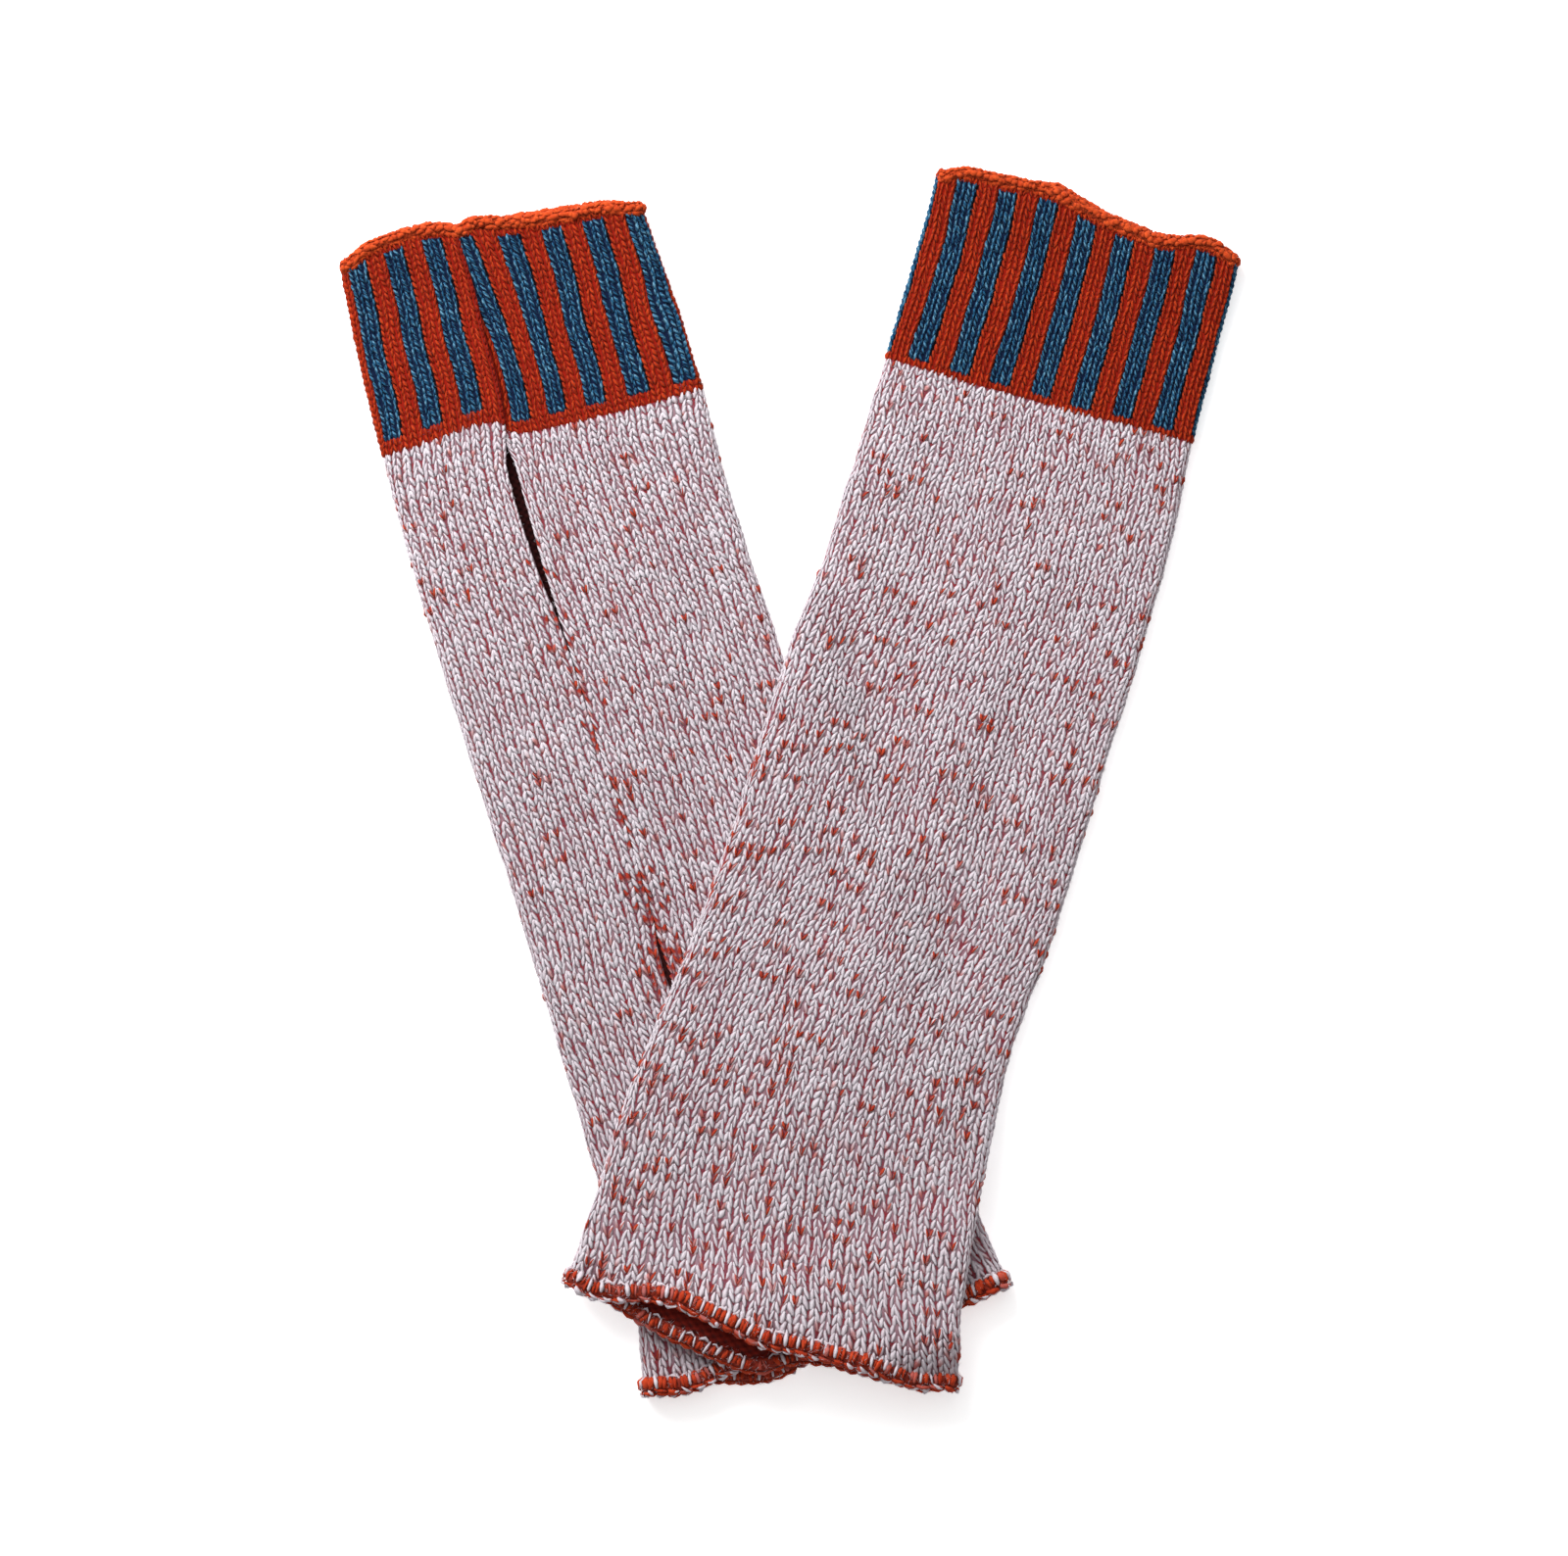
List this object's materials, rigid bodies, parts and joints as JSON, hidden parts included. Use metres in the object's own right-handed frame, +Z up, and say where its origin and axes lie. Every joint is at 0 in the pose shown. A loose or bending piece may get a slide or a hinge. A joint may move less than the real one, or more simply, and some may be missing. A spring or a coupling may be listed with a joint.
{
  "type": "pair of knitted wrist warmers",
  "caption": "Long knitted wrist warmers laid flat, the upper one across the lower, with striped cuffs, rolled raw ends and a thumb opening in the seam.",
  "frame": {"origin": "middle of the pair's footprint, on the surface that it lies on", "axes": "+Z up out of the surface, +Y towards the striped cuffs, +X to the right seen from above"},
  "size_m": [0.2318, 0.313, 0.0178],
  "materials": {
    "sleeve_knit": "matt plain knitting, pale lilac-white face yarn over an orange-red back yarn that shows between the stitches",
    "cuff_knit": "matt plain knitting, marled blue stripes on orange-red",
    "cuff_roll_knit": "matt orange-red yarn, raw edge curled into a roll",
    "hem_roll_knit": "matt orange-red back yarn with pale face yarn between, raw edge curled into a roll"
  },
  "bodies": {
    "root": {"lower_cuff": "cuff_knit", "lower_cuff_roll": "cuff_roll_knit", "lower_sleeve": "sleeve_knit", "lower_hem_roll": "hem_roll_knit", "upper_cuff": "cuff_knit", "upper_cuff_roll": "cuff_roll_knit", "upper_sleeve": "sleeve_knit", "upper_hem_roll": "hem_roll_knit"}
  },
  "joints": []
}
